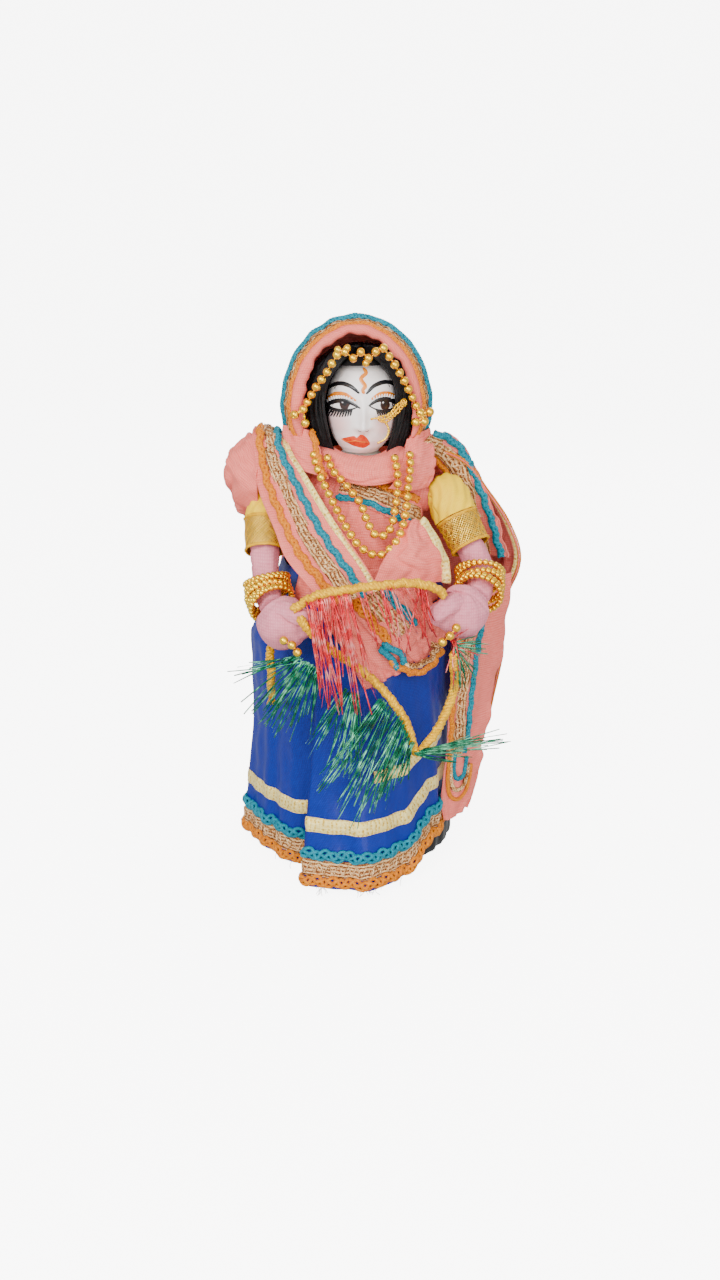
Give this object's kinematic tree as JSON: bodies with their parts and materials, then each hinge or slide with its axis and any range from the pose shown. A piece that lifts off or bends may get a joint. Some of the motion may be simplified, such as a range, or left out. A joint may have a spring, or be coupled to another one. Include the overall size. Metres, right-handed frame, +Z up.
{
  "type": "rajasthani bride doll",
  "caption": "Standing cloth bride doll on a round base, in a veil and trimmed skirt, with turning head, raising arms and a hanging tinsel garland in its hands.",
  "frame": {"origin": "centre of the round base's underside", "axes": "+Z up along the post, the doll faces -Y, +X to the right as seen by someone facing the doll"},
  "size_m": [0.1311, 0.1313, 0.2422],
  "materials": {
    "wood": "raw turned wood, sanded, satin sheen",
    "black_satin": "black satin, smooth, soft gloss",
    "wire": "drawn steel wire, dull",
    "stuffing": "matt cotton wadding",
    "blue_satin": "royal blue satin with a fine weave and a soft sheen",
    "pink_cloth": "thin ribbed salmon pink saree cloth, matt with a faint sheen",
    "skin_cloth": "wrinkled pink cotton, matt",
    "yellow_cloth": "lemon yellow satin, soft sheen",
    "gold_braid": "woven metallic gold lace and braid",
    "gold_bead": "polished gold-plated beads",
    "teal_braid": "twisted teal braid with a silky sheen",
    "orange_braid": "twisted orange and gold braid",
    "zari": "woven beige and silver metallic trim",
    "face": "white paint with a satin varnish, painted features",
    "hair": "straight black synthetic hair",
    "red_tinsel": "shredded metallic red foil",
    "green_tinsel": "shredded metallic green foil"
  },
  "bodies": {
    "root": {"base_board": "wood", "base_cover": "black_satin", "body_post": "wood", "skirt_padding": "stuffing", "body_padding": "stuffing", "shoulder_wire": "wire", "blouse": "yellow_cloth", "skirt": "blue_satin", "skirt_orange_braid": "orange_braid", "skirt_zari_strip": "zari", "skirt_teal_braid": "teal_braid", "skirt_gold_lace": "gold_braid", "chest_drape": "pink_cloth", "hip_drape": "pink_cloth", "hip_zari_border": "zari", "chest_sash": "pink_cloth", "sash_orange_braid": "orange_braid", "sash_zari_strip": "zari", "sash_teal_braid": "teal_braid", "sash_gold_lace": "gold_braid", "shoulder_pallu": "pink_cloth", "side_pleats": "pink_cloth", "back_drape": "pink_cloth", "veil_zari_border": "zari", "pallu_end": "pink_cloth", "pallu_end_border": "zari", "necklace_outer": "gold_bead", "necklace_inner": "gold_bead"},
    "head": {"head": "face", "hair": "hair", "hood": "pink_cloth", "hood_orange_braid": "orange_braid", "hood_zari_strip": "zari", "hood_teal_braid": "teal_braid", "forehead_beads": "gold_bead", "left_ear_beads": "gold_bead", "right_ear_beads": "gold_bead"},
    "nose_ring": {"nose_ring": "gold_braid"},
    "left_arm": {"left_arm_wire": "wire", "left_arm": "skin_cloth", "left_sleeve": "yellow_cloth", "left_armband": "gold_braid", "left_bangles": "gold_bead", "left_hand": "skin_cloth", "left_ring_beads": "gold_bead"},
    "right_arm": {"right_arm_wire": "wire", "right_arm": "skin_cloth", "right_sleeve": "yellow_cloth", "right_armband": "gold_braid", "right_bangles": "gold_bead", "right_hand": "skin_cloth", "right_ring_beads": "gold_bead"},
    "garland": {"garland_upper_strand": "gold_braid", "garland_lower_strand": "gold_braid", "red_tinsel": "red_tinsel", "green_tinsel_left": "green_tinsel", "green_tinsel_front": "green_tinsel", "green_tinsel_right": "green_tinsel"},
    "gold_tail": {"garland_gold_tail": "gold_braid"}
  },
  "joints": [
    {"name": "neck_turn", "type": "hinge", "parent": "root", "child": "head", "pos_m": [0, 0, 0.186], "axis": [0, 0, 1], "range_deg": [-25, 25]},
    {"name": "nose_ring_swing", "type": "hinge", "parent": "head", "child": "nose_ring", "pos_m": [0.0045, -0.0225, 0.203], "axis": [-0.9045, -0.3015, -0.3015], "range_deg": [0, 20]},
    {"name": "left_arm_raise", "type": "hinge", "parent": "root", "child": "left_arm", "pos_m": [-0.0346, -0.007, 0.166], "axis": [-1, 0, 0], "range_deg": [0, 10]},
    {"name": "right_arm_raise", "type": "hinge", "parent": "root", "child": "right_arm", "pos_m": [0.0346, -0.007, 0.166], "axis": [-1, 0, 0], "range_deg": [0, 10]},
    {"name": "garland_swing", "type": "hinge", "parent": "left_arm", "child": "garland", "pos_m": [0.0035, -0.061, 0.134], "axis": [-0.9952, 0, -0.0979], "range_deg": [0, 20]},
    {"name": "gold_tail_swing", "type": "hinge", "parent": "left_arm", "child": "gold_tail", "pos_m": [-0.038, -0.046, 0.1105], "axis": [1, 0, 0], "range_deg": [-10, 10]}
  ],
  "couplings": [
    {"joint": "right_arm_raise", "follows": "left_arm_raise", "ratio": 1}
  ]
}
